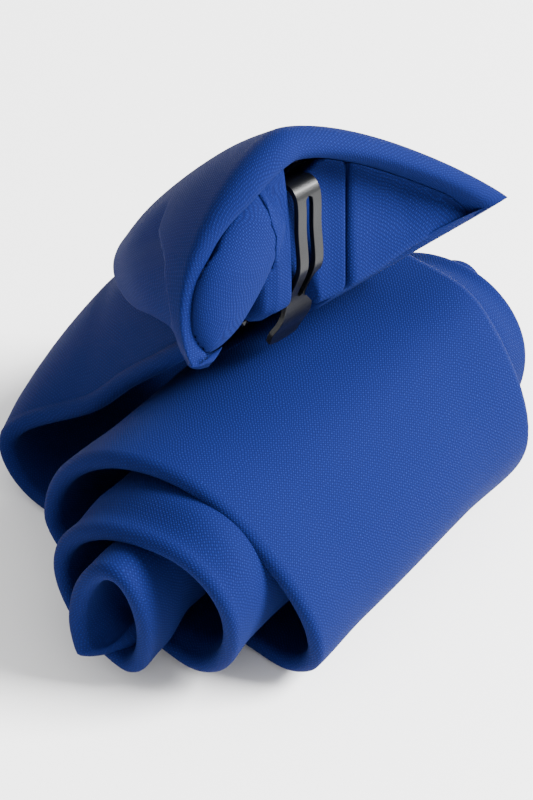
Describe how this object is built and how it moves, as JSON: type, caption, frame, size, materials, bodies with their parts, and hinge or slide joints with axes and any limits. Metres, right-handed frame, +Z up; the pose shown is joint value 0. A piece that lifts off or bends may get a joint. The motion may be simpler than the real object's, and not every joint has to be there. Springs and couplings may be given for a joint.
{
  "type": "clip-on necktie",
  "caption": "Ready-tied clip-on necktie rolled up from its point, its padded knot and sprung steel clip on top.",
  "frame": {"origin": "centre of the bounding box, on the surface that the rolled tie lies on", "axes": "+Z up, +Y along the roll's axis away from its near rim, +X away from the neck's turn"},
  "size_m": [0.0738, 0.094, 0.0788],
  "materials": {
    "cloth": "matte royal blue basket-weave polyester",
    "clip_steel": "glossy black enamel on spring steel"
  },
  "bodies": {
    "root": {"blade": "cloth", "knot_wrap": "cloth", "knot_core_fold": "cloth", "knot_panel_fold": "cloth", "knot_lining_fold": "cloth", "knot_wing_fold": "cloth", "clip_hook": "clip_steel", "clip_plate": "clip_steel"}
  },
  "joints": []
}
